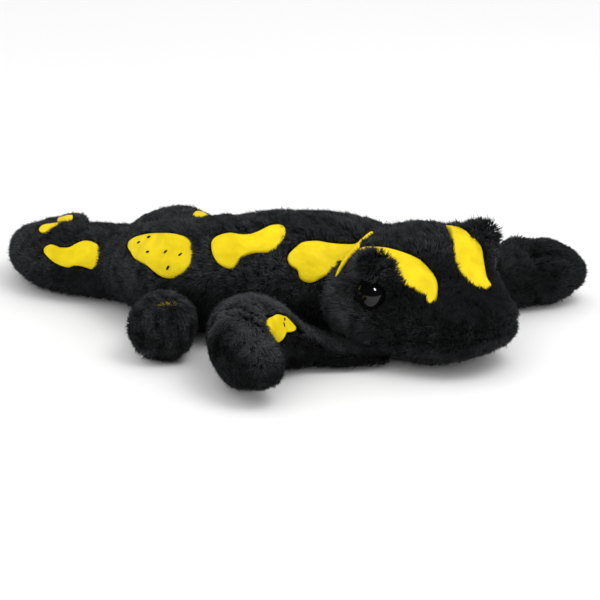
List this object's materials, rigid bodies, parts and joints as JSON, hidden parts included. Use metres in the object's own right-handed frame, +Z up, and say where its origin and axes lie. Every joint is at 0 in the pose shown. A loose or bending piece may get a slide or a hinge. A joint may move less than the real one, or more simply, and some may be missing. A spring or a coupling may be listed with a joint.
{
  "type": "stuffed toy salamander",
  "caption": "Stuffed plush toy salamander lying on its belly, black short pile with smooth yellow fabric patches, a broad flat head, splayed legs and a tail curled to one side.",
  "frame": {"origin": "middle of the footprint at floor level", "axes": "+X towards the head along the trunk, +Y to the animal's left, +Z up from the floor the belly lies on"},
  "size_m": [0.3178, 0.2318, 0.0647],
  "materials": {
    "plush": "short black polyester pile, matt with a faint cool sheen",
    "patch_cloth": "smooth woven yellow polyester, satin",
    "eye_plastic": "high gloss black"
  },
  "bodies": {
    "root": {"head": "plush", "chin": "plush", "eye_right": "eye_plastic", "eye_left": "eye_plastic", "shoulders": "plush", "trunk": "plush", "hips": "plush", "tail_base": "plush", "tail_middle": "plush", "tail_curl": "plush", "tail_tip": "plush", "foreleg_right": "plush", "forefoot_right": "plush", "foreleg_left": "plush", "forefoot_left": "plush", "hindleg_right": "plush", "hindfoot_right": "plush", "hindleg_left": "plush", "hindfoot_left": "plush", "patch_shoulder_right": "patch_cloth", "patch_shoulder_left": "patch_cloth", "patch_back_right": "patch_cloth", "patch_back_left": "patch_cloth", "patch_hip_right": "patch_cloth", "patch_tail_right": "patch_cloth", "patch_tail_left": "patch_cloth", "patch_tail_curl": "patch_cloth", "patch_tail_tip": "patch_cloth", "stripe_right": "patch_cloth", "stripe_left": "patch_cloth", "patch_foreleg_right": "patch_cloth", "patch_foreleg_left": "patch_cloth", "patch_hindleg_right": "patch_cloth", "patch_hindleg_left": "patch_cloth"}
  },
  "joints": []
}
